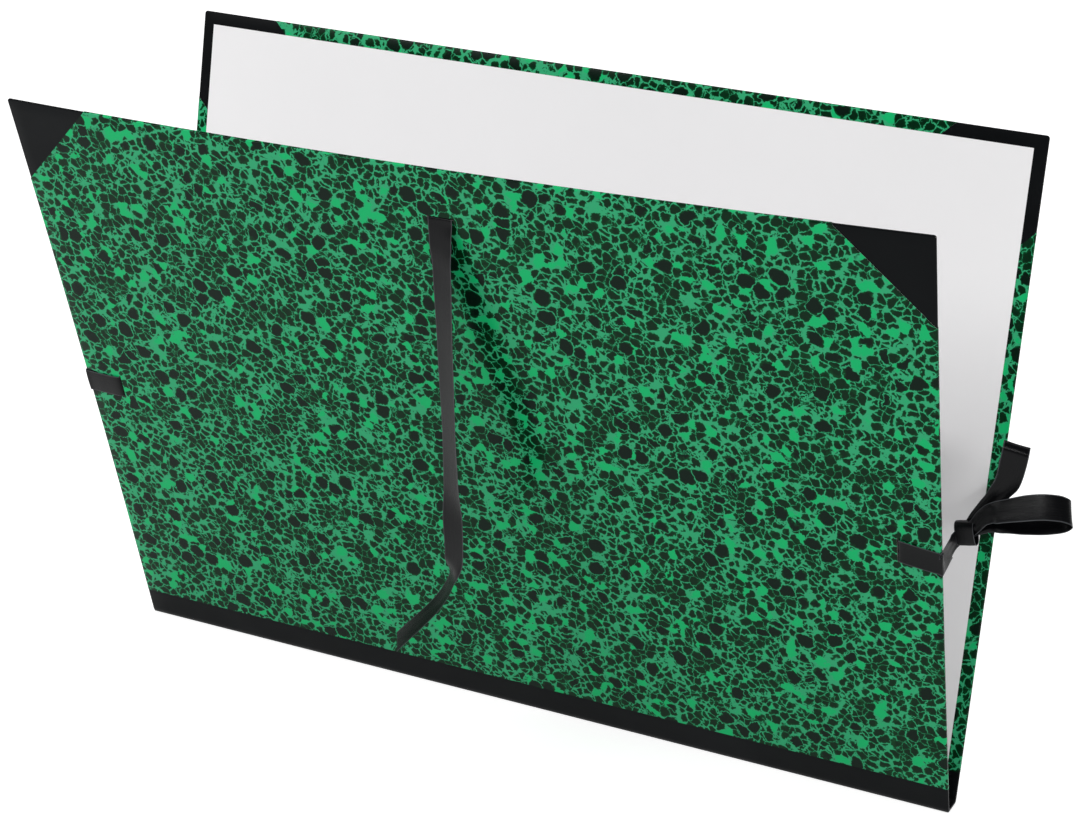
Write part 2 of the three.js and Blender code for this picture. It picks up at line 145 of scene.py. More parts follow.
class Shading:
    """Short calls for building a material's nodes. Texture scales are in cells per metre."""

    def __init__(self, name, coordinates="Object"):
        self.material = bpy.data.materials.new(name)
        self.material.use_nodes = True
        self.tree = self.material.node_tree
        self.shader = self.tree.nodes["Principled BSDF"]
        self.place = self.add("ShaderNodeTexCoord").outputs[coordinates]

    def add(self, kind, **settings):
        node = self.tree.nodes.new(kind)
        for key, value in settings.items():
            setattr(node, key, value)
        return node

    def feed(self, socket, value):
        feed_socket(self.tree, socket, value)

    def set(self, **values):
        """Set the surface shader's own sockets, named with _ for each space."""
        for name, value in values.items():
            self.feed(self.shader.inputs[name.replace("_", " ")], value)

    def math(self, operation, *values):
        return add_math(self.tree, operation, *values)

    def vector(self, operation, *values):
        node = self.add("ShaderNodeVectorMath", operation=operation)
        for socket, value in zip(node.inputs, values):
            self.feed(socket, value)
        return node.outputs[0]

    def noise(self, scale, detail=2.0, place=None, output="Fac"):
        node = self.add("ShaderNodeTexNoise")
        self.feed(node.inputs["Vector"], place or self.place)
        node.inputs["Scale"].default_value = scale
        node.inputs["Detail"].default_value = detail
        return node.outputs[output]

    def cells(self, scale, feature="F1", place=None):
        """A texture of cells round scattered points, with the distance to the nearest or second."""
        node = self.add("ShaderNodeTexVoronoi", feature=feature)
        self.feed(node.inputs["Vector"], place or self.place)
        node.inputs["Scale"].default_value = scale
        return node

    def pushed(self, scale, amount, place):
        """Coordinates pushed about by noise, at most by half the amount in metres."""
        noise = self.noise(scale, place=place, output="Color")
        centred = self.vector("SUBTRACT", noise, (0.5, 0.5, 0.5))
        scaled = self.vector("MULTIPLY", centred, (amount, amount, amount))
        return self.vector("ADD", place, scaled)

    def range(self, value, low, high, to_low=0.0, to_high=1.0):
        """A value that goes smoothly from to_low at low to to_high at high."""
        node = self.add("ShaderNodeMapRange", interpolation_type="SMOOTHSTEP")
        self.feed(node.inputs["Value"], value)
        limits = {"From Min": low, "From Max": high, "To Min": to_low, "To Max": to_high}
        for name, number in limits.items():
            self.feed(node.inputs[name], number)
        return node.outputs["Result"]

    def mix(self, share, first, second):
        node = self.add("ShaderNodeMix", data_type="RGBA")
        colours = [socket for socket in node.inputs if socket.type == "RGBA"]
        self.feed(node.inputs["Factor"], share)
        self.feed(colours[0], first)
        self.feed(colours[1], second)
        return [socket for socket in node.outputs if socket.type == "RGBA"][0]

    def bump(self, height, distance, strength=1.0):
        node = self.add("ShaderNodeBump")
        node.inputs["Strength"].default_value = strength
        node.inputs["Distance"].default_value = distance
        self.feed(node.inputs["Height"], height)
        self.set(Normal=node.outputs["Normal"])


def marbled_paper():
    """Round dark drops of two sizes on green, as in pebble marbling, under a glossy film."""
    s = Shading("marbled_paper")
    place = s.place
    for scale, amount in ((28, 0.006), (120, 0.005), (420, 0.0032)):
        place = s.pushed(scale, amount, place)

    def drops(scale, radius, vein, kept):
        """How deep inside a rounded drop a spot is, where this share of the drops is kept."""
        nearest = s.cells(scale, "F1", place)
        second = s.cells(scale, "F2", place)
        gap = s.math("SUBTRACT", second.outputs["Distance"], nearest.outputs["Distance"])
        from_vein = s.math("SUBTRACT", gap, vein)
        from_rim = s.math("SUBTRACT", radius, nearest.outputs["Distance"])
        inside = s.math("MINIMUM", from_vein, from_rim)
        chance = s.add("ShaderNodeSeparateColor")
        s.feed(chance.inputs[0], nearest.outputs["Color"])
        bare = s.math("GREATER_THAN", chance.outputs[0], kept)
        far_outside = 2.0
        return s.math("SUBTRACT", inside, s.math("MULTIPLY", bare, far_outside))

    vein = s.range(s.noise(60, 3), 0.35, 0.65, -0.01, 0.13)
    small = drops(scale=145, radius=s.math("SUBTRACT", 0.84, vein), vein=vein, kept=0.93)
    large = drops(scale=84, radius=0.62, vein=0.04, kept=0.2)
    outside_ring = s.math("SUBTRACT", 1.0, s.range(large, -0.09, -0.04))
    in_small = s.math("MULTIPLY", s.range(small, 0.0, 0.07), outside_ring)
    in_large = s.range(large, 0.0, 0.04)
    dark = s.math("MAXIMUM", in_small, in_large)
    depth = s.math("MAXIMUM", s.range(small, 0.05, 0.3), s.range(large, 0.03, 0.16))
    middle = s.mix(s.range(large, 0.02, 0.1), srgb(2, 38, 18), srgb(4, 25, 15))
    ink = s.mix(depth, srgb(2, 60, 28), middle)
    near_drop = s.range(small, -0.5, -0.12, 1.0, 0.0)
    green = s.mix(near_drop, srgb(50, 163, 112), srgb(22, 178, 106))
    s.set(Base_Color=s.mix(dark, green, ink))
    s.set(Roughness=s.range(s.noise(5, 2), 0.3, 0.7, 0.16, 0.26))
    s.set(Specular_IOR_Level=0.08)
    s.bump(s.noise(900, 3), 0.00002)
    return s.material


def paper_core():
    """The paper's cut edge."""
    s = Shading("paper_core")
    s.set(Base_Color=srgb(176, 186, 178), Roughness=0.9)
    return s.material


def black_cloth():
    """Coated bookcloth: a fine grain with a dull shine and paler rubbed spots."""
    s = Shading("black_cloth")
    wear = s.range(s.noise(9, 4), 0.45, 0.8)
    s.set(Base_Color=s.mix(wear, srgb(8, 10, 12), srgb(15, 17, 19)))
    s.set(Roughness=s.range(s.noise(40, 3), 0.3, 0.7, 0.36, 0.46))
    s.set(Specular_IOR_Level=0.06)
    grain = s.cells(1900).outputs["Distance"]
    s.bump(grain, 0.00006, 0.5)
    return s.material


def lining_paper():
    """Pale matt paper with fine fibres."""
    s = Shading("lining_paper")
    tone = s.mix(s.noise(6, 3), srgb(234, 233, 234), srgb(240, 239, 240))
    s.set(Base_Color=tone, Roughness=0.75)
    fibres = s.noise(1100, 4)
    s.bump(fibres, 0.00003)
    return s.material


def grey_board():
    """Rough grey board."""
    s = Shading("grey_board")
    s.set(Base_Color=s.mix(s.noise(500, 4), srgb(128, 124, 116), srgb(160, 155, 146)))
    s.set(Roughness=0.95)
    s.bump(s.noise(1500, 3), 0.0001)
    return s.material


def satin_ribbon():
    """Black satin with a shine along its threads and a firm paler selvedge down each side."""
    s = Shading("satin_ribbon", "UV")
    split = s.add("ShaderNodeSeparateXYZ")
    s.feed(split.inputs[0], s.place)
    across = s.math("ABSOLUTE", s.math("SUBTRACT", split.outputs["Y"], 0.5))
    selvedge = s.range(across, 0.455, 0.475)
    along_threads, across_threads = 6.0, 260.0
    stretched = s.vector("MULTIPLY", s.place, (along_threads, across_threads, 1.0))
    streaks = s.noise(1.0, 3, stretched)
    threads = s.mix(streaks, srgb(3, 3, 5), srgb(9, 10, 12))
    s.set(Base_Color=s.mix(selvedge, threads, srgb(58, 60, 63)))
    s.set(Roughness=s.range(streaks, 0.3, 0.7, 0.24, 0.34))
    s.set(Specular_IOR_Level=0.13, Anisotropic=0.6)
    ribs = s.math("ADD", streaks, s.math("MULTIPLY", selvedge, 0.6))
    s.bump(ribs, 0.00008, 0.5)
    return s.material


# Shapes on the covers


def on_cover(cover, x, s, w):
    """A point of a cover: x along the spine, s up from the board's foot, w out from mid-board."""
    foot_inset = OUTER_FACE - BOARD_THICKNESS / 2
    lean = cover["lean"]
    u = x / HALF_COVER
    v = max(s, 0) / COVER_HEIGHT
    warp = v * v * (cover["bow"] * (1 - u * u) - cover["twist"] * u)
    inward = OUTER_FACE - w - warp
    up = s + foot_inset * (1 - math.sin(lean)) / math.cos(lean)
    y = SPINE_WIDTH / 2 + up * math.sin(lean) - inward * math.cos(lean)
    z = up * math.cos(lean) + inward * math.sin(lean)
    return Vector((x, cover["side"] * y, z)) * MM


def cells_between(rows):
    """The four corners of each cell between neighbouring rows, going round."""
    for one, other in zip(rows, rows[1:]):
        for k in range(len(one) - 1):
            yield one[k], one[k + 1], other[k + 1], other[k]


def sheet_mesh(rows):
    """A sheet with a corner at each point of the rows."""
    mesh = bmesh.new()
    corners = [[mesh.verts.new(point) for point in row] for row in rows]
    for cell in cells_between(corners):
        mesh.faces.new(cell)
    return mesh


def new_object(name, mesh, *materials):
    """An object from a bmesh, shaded smooth except at its sharp and its open edges."""
    data = bpy.data.meshes.new(name)
    bmesh.ops.recalc_face_normals(mesh, faces=mesh.faces)
    mesh.edges.index_update()
    open_edges = [edge.index for edge in mesh.edges if edge.is_boundary]
    mesh.to_mesh(data)
    mesh.free()
    for material in materials:
        data.materials.append(material)
    data.polygons.foreach_set("use_smooth", [True] * len(data.polygons))
    data.set_sharp_from_angle(angle=math.radians(50))
    for index in open_edges:
        data.edges[index].use_edge_sharp = True
    made = bpy.data.objects.new(name, data)
    bpy.context.scene.collection.objects.link(made)
    return made


def cut(mesh, faces, point, normal):
    """Cut these faces along a plane, and return them all with the new ones."""
    faces = [face for face in faces if face.is_valid]
    edges = {edge for face in faces for edge in face.edges}
    verts = {vert for face in faces for vert in face.verts}
    parts = [*faces, *edges, *verts]
    found = bmesh.ops.bisect_plane(mesh, geom=parts, plane_co=point, plane_no=normal, dist=1e-4)
    return [item for item in found["geom"] if isinstance(item, bmesh.types.BMFace)]


def box_mesh(low, high):
    mesh = bmesh.new()
    bmesh.ops.create_cube(mesh, size=1)
    for vert in mesh.verts:
        for axis in range(3):
            vert.co[axis] = (low[axis] + high[axis]) / 2 + vert.co[axis] * (high[axis] - low[axis])
    return mesh


def grid_cut(mesh, spacing, low_s):
    """Cut a flat mesh into cells that are fine enough to follow the cover's warp."""
    columns = round(2 * HALF_COVER / spacing)
    for n in range(1, columns):
        cut(mesh, mesh.faces, (-HALF_COVER + n * spacing, 0, 0), (1, 0, 0))
    rows = round((COVER_HEIGHT - low_s) / spacing)
    for n in range(1, rows):
        cut(mesh, mesh.faces, (0, low_s + n * (COVER_HEIGHT - low_s) / rows, 0), (0, 1, 0))


def edge_distances(face):
    """How far a face's middle is from the cover's nearer side edge and from its top edge."""
    middle = face.calc_center_median()
    return HALF_COVER - abs(middle.x), COVER_HEIGHT - middle.y


def on_inner_face(face):
    """Whether a face of the flat slab looks into the portfolio."""
    return face.calc_center_median().z < -OUTER_FACE * 0.8


def past_turn_in(face):
    """Whether a face of the flat slab is inside, where nothing is turned in any more."""
    from_side, from_top = edge_distances(face)
    return on_inner_face(face) and min(from_side, from_top) > TURNED_IN


def in_corner(face, reach):
    """Whether a face of the flat slab lies on a cloth corner with legs of this length."""
    from_side, from_top = edge_distances(face)
    if on_inner_face(face):
        return abs(from_side - from_top) < reach
    return from_side + from_top < reach


def cut_corners(mesh, reach):
    """Cut the 45 degree outlines of the corners, mirrored on the inner face."""
    for sign in (-1, 1):
        top_start = sign * (HALF_COVER - reach)
        outer = [face for face in mesh.faces if not on_inner_face(face)]
        cut(mesh, outer, (top_start, COVER_HEIGHT, 0), (sign, 1, 0))
        for start in ((top_start, COVER_HEIGHT, 0), (sign * HALF_COVER, COVER_HEIGHT - reach, 0)):
            inner = [face for face in mesh.faces if on_inner_face(face)]
            near = [face for face in inner if face.calc_center_median().x * sign > 0]
            cut(mesh, near, start, (sign, -1, 0))


def cut_slit(mesh, middle, half_size):
    """Cut a slot in the outer face that the ribbon passes through."""

    def near(face, room):
        place = face.calc_center_median()
        inside = all(abs(place[n] - middle[n]) < half_size[n] + room for n in (0, 1))
        return inside and place.z > OUTER_FACE * 0.5

    for axis in (0, 1):
        for sign in (-1, 1):
            point = [middle[0], middle[1], 0]
            point[axis] += sign * half_size[axis]
            normal = [0, 0, 0]
            normal[axis] = 1
            cut(mesh, [face for face in mesh.faces if near(face, 20)], point, normal)
    slot = [face for face in mesh.faces if near(face, -0.01)]
    bmesh.ops.delete(mesh, geom=slot, context="FACES")


def bevel(mesh, edges, radius, segments):
    """Round these edges."""
    settings = {"segments": segments, "profile": 0.5, "affect": "EDGES"}
    bmesh.ops.bevel(mesh, geom=edges, offset=radius, **settings)


def slab(half_thickness, inset, rounding):
    """The covering of one board laid flat: x along, s up, w through, open at the spine."""
    low = (-HALF_COVER + inset, SPINE_STRIP_HEIGHT, -half_thickness)
    high = (HALF_COVER - inset, COVER_HEIGHT - inset, half_thickness)
    mesh = box_mesh(low, high)
    corner_radius = 2.0
    upright = [
        edge
        for edge in mesh.edges
        if all(vert.co.y > COVER_HEIGHT / 2 for vert in edge.verts)
        and abs(edge.verts[0].co.z - edge.verts[1].co.z) > half_thickness
    ]
    bevel(mesh, upright, corner_radius, 4)
    foot = [face for face in mesh.faces if face.calc_center_median().y < SPINE_STRIP_HEIGHT + 0.01]
    bmesh.ops.delete(mesh, geom=foot, context="FACES_ONLY")
    rims = [
        edge
        for edge in mesh.edges
        if len(edge.link_faces) == 2 and abs(edge.verts[0].co.z - edge.verts[1].co.z) < 0.01
        and edge.calc_face_angle() > 1.2
    ]
    bevel(mesh, rims, rounding, 3)
    return mesh


def lay_on_cover(mesh, cover):
    for vert in mesh.verts:
        vert.co = on_cover(cover, *vert.co)


def thicken(made, thickness, offset=-1, rim_material=None):
    """Give a sheet its thickness, inwards with an offset of -1 or to both sides with 0."""
    solidify = made.modifiers.new("thickness", "SOLIDIFY")
    solidify.thickness = thickness * MM
    solidify.offset = offset
    if rim_material is not None:
        solidify.material_offset_rim = rim_material


def slits():
    """The middle and half the size of each slit, a little longer than the ribbon's width."""
    half_length = RIBBON_WIDTH / 2 + 1
    side = (SLIT_GAP / 2, half_length)
    top = (half_length, SLIT_GAP / 2)
    slit_x = HALF_COVER - SIDE_SLIT_INSET
    return [
        ((slit_x, SIDE_SLIT_HEIGHT), side),
        ((-slit_x, SIDE_SLIT_HEIGHT), side),
        ((0, TOP_SLIT_HEIGHT), top),
    ]


def make_cover_paper(name, looks):
    """Marbled paper over the outer face, cut away at the cloth corners and turned in."""
    mesh = slab(OUTER_FACE, inset=0, rounding=0.9)
    grid_cut(mesh, 15, SPINE_STRIP_HEIGHT)
    cut_corners(mesh, CORNER_LEG)
    hidden = [face for face in mesh.faces if in_corner(face, CORNER_LEG)]
    bmesh.ops.delete(mesh, geom=hidden, context="FACES")
    inner = [face for face in mesh.faces if past_turn_in(face)]
    bmesh.ops.delete(mesh, geom=inner, context="FACES")
    for middle, half_size in slits():
        cut_slit(mesh, middle, half_size)
    lay_on_cover(mesh, COVERS[name])
    made = new_object(f"{name}_marbled_paper", mesh, looks["paper"], looks["core"])
    thicken(made, PAPER_THICKNESS, rim_material=1)
    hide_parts(f"{name}_cover_paper")
    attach(made, f"{name}_cover")


def make_cloth_corner(name, side, looks):
    """A corner's cloth, turned in like the paper and ending just under the paper's edge."""
    under_paper = 1.5
    below_paper = 0.18
    sign = -1 if side == "left" else 1
    mesh = slab(OUTER_FACE - below_paper, inset=below_paper, rounding=0.8)
    away = [face for face in mesh.faces if face.calc_center_median().x * sign < -1]
    bmesh.ops.delete(mesh, geom=away, context="FACES")
    reach = CORNER_LEG + under_paper
    for distance in (reach + 12, *range(10, 80, 10), TURNED_IN):
        cut(mesh, mesh.faces, (sign * (HALF_COVER - distance), 0, 0), (1, 0, 0))
        cut(mesh, mesh.faces, (0, COVER_HEIGHT - distance, 0), (0, 1, 0))
    cut_corners(mesh, reach)
    spare = []
    for face in mesh.faces:
        other_side = face.calc_center_median().x * sign < 0
        if other_side or past_turn_in(face) or not in_corner(face, reach):
            spare.append(face)
    bmesh.ops.delete(mesh, geom=spare, context="FACES")
    lay_on_cover(mesh, COVERS[name])
    made = new_object(f"{name}_{side}_cloth_corner", mesh, looks["cloth"])
    thicken(made, CLOTH_THICKNESS)
    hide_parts(f"{name}_{side}_corner")
    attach(made, f"{name}_cover")


def make_lining(name, looks):
    """The sheet of pale paper inside a cover."""
    half_width = HALF_COVER - LINING_MARGIN
    low = (-half_width, LINING_FOOT, LINING_FACE)
    high = (half_width, COVER_HEIGHT - LINING_MARGIN, LINING_FACE + LINING_THICKNESS)
    mesh = box_mesh(low, high)
    grid_cut(mesh, 20, LINING_FOOT)
    lay_on_cover(mesh, COVERS[name])
    made = new_object(f"{name}_lining_sheet", mesh, looks["lining"])
    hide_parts(f"{name}_lining")
    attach(made, f"{name}_cover")


def spine_section(x, w_outer):
    """The spine cloth's outline at x: down the front cover, across the flat foot, up the back."""
    front, back = COVERS["front"], COVERS["back"]
    heights = [SPINE_STRIP_HEIGHT - 0.3, 19, 14, 9, 5, 3]
    under_paper = (x * 0.9994, SPINE_STRIP_HEIGHT + 3, w_outer * 0.8)
    down = [on_cover(front, *under_paper), *(on_cover(front, x, s, w_outer) for s in heights)]
    up = [*(on_cover(back, x, s, w_outer) for s in reversed(heights)), on_cover(back, *under_paper)]
    depth = OUTER_FACE - w_outer
    foot = SPINE_WIDTH / 2 - depth
    radius = 1.2
    flat = [Vector((x, k / 4 * (foot - radius), depth)) * MM for k in range(-4, 5)]
    start = Vector((x, -foot + 0.25 * radius, depth + 0.3 * radius)) * MM
    end = Vector((x, foot - 0.25 * radius, depth + 0.3 * radius)) * MM
    return [*down, start, *flat, end, *up]


def spine_stations():
    """Places along the spine and through the boards, with both ends turned in round the boards."""
    radius = 0.8
    turned = [(HALF_COVER - TURNED_IN, -OUTER_FACE)]
    quarter = [math.radians(angle) for angle in (0, 30, 60, 90)]
    for angle in quarter:
        x = HALF_COVER - radius * (1 - math.sin(angle))
        turned.append((x, -OUTER_FACE + radius * (1 - math.cos(angle))))
    for angle in quarter:
        x = HALF_COVER - radius * (1 - math.cos(angle))
        turned.append((x, OUTER_FACE - radius * (1 - math.sin(angle))))
    between = [(HALF_COVER * (1 - n / 24), OUTER_FACE) for n in range(1, 48)]
    return [*turned, *between, *((-x, w) for x, w in reversed(turned))]


def make_spine_cloth(looks):
    """The strip of cloth from cover to cover under both boards."""
    mesh = sheet_mesh([spine_section(x, w) for x, w in spine_stations()])
    made = new_object("spine_cloth_band", mesh, looks["cloth"])
    thicken(made, SPINE_CLOTH_THICKNESS)
    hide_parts("spine_cloth")
    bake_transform(made)


def make_hinge_strip(looks):
    """The cloth strip glued along the joint inside, from lining to lining."""
    front, back = COVERS["front"], COVERS["back"]
    half_length = HALF_COVER - 20.25
    half_foot = 3.4
    cells = 40
    heights = [HINGE_STRIP_HEIGHT, 15, 10, 6, 3]
    rows = []
    for n in range(cells + 1):
        x = -half_length + 2 * half_length * n / cells
        down = [on_cover(front, x, s, HINGE_STRIP_FACE) for s in heights]
        up = [on_cover(back, x, s, HINGE_STRIP_FACE) for s in reversed(heights)]
        hollow = [
            Vector((x, share * half_foot, 1.1 + 0.5 * share * share)) * MM
            for share in (-1, -0.5, 0, 0.5, 1)
        ]
        rows.append([*down, *hollow, *up])
    made = new_object("inner_hinge_strip", sheet_mesh(rows), looks["cloth"])
    thicken(made, CLOTH_THICKNESS)
    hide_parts("hinge_strip")
    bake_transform(made)


# Ribbons


def smooth_curve(points, steps):
    """A centripetal Catmull-Rom curve through points, as (place, direction, station)."""
    ends = [2 * points[0] - points[1], *points, 2 * points[-1] - points[-2]]
    found = []
    for n in range(len(points) - 1):
        p0, p1, p2, p3 = ends[n : n + 4]
        d1, d2, d3 = (max((b - a).length, 1e-9) ** 0.5 for a, b in ((p0, p1), (p1, p2), (p2, p3)))
        m1 = ((p1 - p0) / d1 - (p2 - p0) / (d1 + d2) + (p2 - p1) / d2) * d2
        m2 = ((p2 - p1) / d2 - (p3 - p1) / (d2 + d3) + (p3 - p2) / d3) * d2
        last = n == len(points) - 2
        count = max(3, math.ceil((p2 - p1).length / steps))
        for step in range(count + (1 if last else 0)):
            t = step / count
            place = (
                (2 * t**3 - 3 * t**2 + 1) * p1
                + (t**3 - 2 * t**2 + t) * m1
                + (3 * t**2 - 2 * t**3) * p2
                + (t**3 - t**2) * m2
            )
            direction = (
                (6 * t**2 - 6 * t) * p1
                + (3 * t**2 - 4 * t + 1) * m1
                + (6 * t - 6 * t**2) * p2
                + (3 * t**2 - 2 * t) * m2
            )
            found.append((place, direction.normalized(), n + t))
    return found


def ribbon_mesh(stations, folds, steps=2.5, cells=8, cup=0.25):
    """A strip through stations of (place, direction across, width), and its length in metres.

    It is flat at its start, then cupped a little, and folds lengthwise where it is narrowed.
    """
    points = [Vector(place) for place, across, width in stations]
    mesh = bmesh.new()
    uv = mesh.loops.layers.uv.new("UVMap")
    rows = []
    length = 0.0
    before = points[0]
    for place, tangent, station in smooth_curve(points, steps):
        n = min(int(station), len(stations) - 2)
        share = station - n
        share = share * share * (3 - 2 * share)
        first = Vector(stations[n][1]).normalized()
        second = Vector(stations[n + 1][1]).normalized()
        across = first.lerp(second, share)
        across = (across - across.dot(tangent) * tangent).normalized()
        normal = across.cross(tangent)
        width = stations[n][2] * (1 - share) + stations[n + 1][2] * share
        gather = 1.0 - width / RIBBON_WIDTH
        cupped = min(station / 4, 1) ** 3 * cup
        length += (place - before).length
        before = place
        row = []
        for k in range(cells + 1):
            side = 2 * k / cells - 1
            fold = folds * gather * math.sin(side * math.pi * 2.5)
            lift = cupped * (1 - side * side) + fold
            corner = mesh.verts.new((place + across * side * width / 2 + normal * lift) * MM)
            row.append((corner, (length * MM, k / cells)))
        rows.append(row)
    for cell in cells_between(rows):
        face = mesh.faces.new([corner for corner, spot in cell])
        for loop, (corner, spot) in zip(face.loops, cell):
            loop[uv].uv = spot
    return mesh, length * MM


def make_ribbon(name, stations, looks, node, body, folds=1.1):
    """One length of ribbon."""
    mesh, length = ribbon_mesh(stations, folds)
    made = new_object(name, mesh, looks["ribbon"])
    thicken(made, RIBBON_THICKNESS, offset=0)
    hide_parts(node)
    if body:
        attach(made, body)
    return made


def full_width(places, across):
    """Stations at these places, all facing the same way."""
    return [(place, across, RIBBON_WIDTH) for place in places]


def through_side_slit(cover, direction):
    """The glued tab under the lining and the way out through a side slit."""
    slit_x = direction * (HALF_COVER - SIDE_SLIT_INSET)

    def along(x, w):
        return on_cover(cover, x, SIDE_SLIT_HEIGHT, w) / MM

    across = (on_cover(cover, slit_x, SIDE_SLIT_HEIGHT + 1, 0) / MM - along(slit_x, 0)).normalized()
    bend = SLIT_GAP / 4
    places = [
        along(slit_x - direction * 30, UNDER_LINING),
        along(slit_x - direction * 3, UNDER_LINING),
        along(slit_x - direction * bend, UNDER_LINING + 0.2),
        along(slit_x, 0),
        along(slit_x + direction * bend, OUTSIDE),
    ]
    return full_width(places, across), across


def round_side_edge(cover, direction, fall=0):
    """Round a cover's side edge from outside to inside, lower at the edge by the fall."""
    stations, across = through_side_slit(cover, direction)

    def point(inset, w):
        height = SIDE_SLIT_HEIGHT - fall * (1 - inset / SIDE_SLIT_INSET)
        return on_cover(cover, direction * (HALF_COVER - inset), height, w) / MM

    places = [
        point(16, OUTSIDE + 0.6),
        point(2, OUTSIDE),
        point(-EDGE_LIFT, OUTSIDE),
        point(-EDGE_LIFT, INSIDE),
    ]
    return stations + full_width(places, across), across


def make_top_ribbon(name, looks, hang):
    """Out of the slit below the top edge and hanging down, clear of the leaning cover."""
    cover = COVERS[name]

    def point(s, w):
        return on_cover(cover, 0, s, w) / MM

    left = on_cover(cover, -1, TOP_SLIT_HEIGHT, 0)
    right = on_cover(cover, 1, TOP_SLIT_HEIGHT, 0)
    bend = SLIT_GAP / 4
    start = point(TOP_SLIT_HEIGHT - 4, OUTSIDE + 1)
    places = [
        point(TOP_SLIT_HEIGHT - 30, UNDER_LINING),
        point(TOP_SLIT_HEIGHT - 3, UNDER_LINING),
        point(TOP_SLIT_HEIGHT - bend, UNDER_LINING + 0.2),
        point(TOP_SLIT_HEIGHT, 0),
        point(TOP_SLIT_HEIGHT - bend, OUTSIDE),
        start,
    ]
    stations = full_width(places, (right - left).normalized())
    for drop, shift, out, turn in hang:
        place = start + Vector((shift, cover["side"] * out, -drop))
        facing = (math.cos(math.radians(turn)), math.sin(math.radians(turn)), 0)
        stations.append((place, facing, RIBBON_WIDTH))
    make_ribbon(
        f"{name}_hanging_ribbon", stations, looks,
        node=f"{name}_top_ribbon", body=f"{name}_cover",
    )


# Stations below the top slit: how far down, to the right and outwards, and the turn in degrees
FRONT_HANG = [
    (14, 0, 0.5, -6),
    (34, 0.5, 0.5, -18),
    (100, 1, 0, -26),
    (160, 2, 0, -31),
    (200, 2.5, 0, -27),
    (232, 3, 0, -11),
    (262, 3, 0, -16),
    (281, 0, 0, -52),
    (301, -11, 0, -50),
    (345, -49, 0, -46),
]
BACK_HANG = [(60, 0, 0.5, 4), (160, 1, 1, -6), (260, -1, 0.5, 8), (360, 2, 0, 0)]


def make_front_left_ribbon(looks):
    """Turned round the edge and lying down the inside of the cover."""
    cover = COVERS["front"]
    stations, across = round_side_edge(cover, -1)
    level = Vector((1, 0, 0))
    lying = [
        (2, SIDE_SLIT_HEIGHT, across),
        (8, SIDE_SLIT_HEIGHT - 2, across),
        (26, SIDE_SLIT_HEIGHT - 24, across + level),
        (33, SIDE_SLIT_HEIGHT - 60, level),
        (35, 120, level),
        (34, 20, level),
    ]
    for inset, height, facing in lying:
        place = on_cover(cover, inset - HALF_COVER, height, INSIDE) / MM
        stations.append((place, facing, RIBBON_WIDTH))
    make_ribbon(
        "front_left_tie", stations, looks,
        node="front_left_ribbon", body="front_cover",
    )


def make_back_left_ribbon(looks):
    """Out of its slit and down outside the cover."""
    cover = COVERS["back"]
    stations, across = through_side_slit(cover, -1)
    start = on_cover(cover, SIDE_SLIT_INSET - HALF_COVER, SIDE_SLIT_HEIGHT, OUTSIDE) / MM
    falls = [
        ((-6, 1, -0.5), across),
        ((-15, 4, -8), (-0.7, 0.1, 0.7)),
        ((-19, 6, -26), (-1, 0.1, 0.2)),
        ((-19, 6, -90), (-1, 0.1, 0)),
        ((-19, 6, -150), (-1, -0.1, 0)),
        ((-18, 6, -225), (-1, 0, 0)),
    ]
    stations += [(start + Vector(shift), facing, RIBBON_WIDTH) for shift, facing in falls]
    make_ribbon(
        "back_left_tie", stations, looks,
        node="back_left_ribbon", body="back_cover",
    )


def in_bow(x, y, z):
    """A place from the covers' right edge, the middle of the gap and the side slits' height."""
    return Vector((HALF_COVER + x, y, SIDE_SLIT_HEIGHT + z))


def make_front_right_ribbon(looks):
    """Round the front cover's right edge and into the knot."""
    stations, across = round_side_edge(COVERS["front"], 1, fall=5)
    stations += [
        (in_bow(1.5, -54, -5), across + Vector((0.1, 0.3, 0.2)), RIBBON_WIDTH),
        (in_bow(4, -45, 3), (0.1, 0.2, 1), 14),
        (in_bow(7, -40.5, 7), (0, 0, 1), GATHERED_WIDTH),
        (in_bow(11, -40, 8), (0, 0, 1), GATHERED_WIDTH),
    ]
    make_ribbon(
        "front_right_tie", stations, looks,
        node="front_right_ribbon", body="front_cover",
    )


def make_side_loop(looks):
    """The bow's long loop, out of the knot to the right and back into it."""
    tilted = (-0.33, 0.67, 0.67)
    rising = (-0.6, 0.35, 0.7)
    stations = [
        (in_bow(5, -41, 6), (0, 0.2, 1), GATHERED_WIDTH),
        (in_bow(14.4, -42.5, 13), (-0.5, 0.2, 0.8), GATHERED_WIDTH + 1),
        (in_bow(21.9, -44, 23.7), rising, 12),
        (in_bow(27.8, -46, 29.3), rising, 14),
        (in_bow(35.6, -48, 33.4), tilted, 17),
        (in_bow(56.2, -51, 42.2), tilted, RIBBON_WIDTH),
        (in_bow(69.3, -52, 46), tilted, RIBBON_WIDTH),
        (in_bow(80.8, -50, 46), tilted, RIBBON_WIDTH),
        (in_bow(85.2, -44, 41), tilted, RIBBON_WIDTH),
        (in_bow(78.7, -37, 32.2), tilted, RIBBON_WIDTH),
        (in_bow(64.5, -34, 25.7), tilted, RIBBON_WIDTH),
        (in_bow(51, -34, 22.7), tilted, RIBBON_WIDTH),
        (in_bow(35.2, -36, 20.1), tilted, 17),
        (in_bow(24.8, -38, 17.7), rising, 13),
        (in_bow(14, -39, 10), (-0.4, 0.2, 0.9), GATHERED_WIDTH),
        (in_bow(8, -38.5, 6), (0, 0.1, 1), GATHERED_WIDTH),
    ]
    make_ribbon(
        "bow_side_loop", stations, looks,
        node="front_right_ribbon", body="front_cover",
    )


